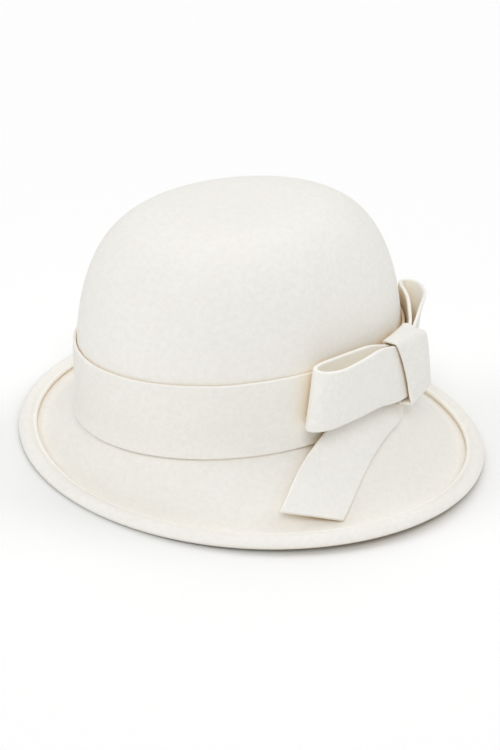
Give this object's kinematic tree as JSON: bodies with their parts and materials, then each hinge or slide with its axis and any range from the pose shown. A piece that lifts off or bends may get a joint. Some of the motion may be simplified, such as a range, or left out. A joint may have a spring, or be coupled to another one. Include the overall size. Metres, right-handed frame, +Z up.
{
  "type": "cloche hat",
  "caption": "Felt cloche hat with a rounded crown, a short flaring brim with a turned-over hem, a felt band and a flat felt bow at one side.",
  "frame": {"origin": "on the surface that the hat rests on, under the middle of the brim", "axes": "+X to the wearer's left, +Y to the back of the head, +Z up"},
  "size_m": [0.287, 0.2748, 0.153],
  "materials": {
    "body_felt": "ivory wool felt, matt, fine fibre nap",
    "band_felt": "ivory wool felt, matt, cut edges",
    "bow_felt": "ivory wool felt, matt, cut edges"
  },
  "bodies": {
    "root": {"felt_body": "body_felt", "band": "band_felt", "bow_loop_front": "bow_felt", "bow_loop_rear": "bow_felt", "bow_knot": "bow_felt", "bow_tail": "bow_felt"}
  },
  "joints": []
}
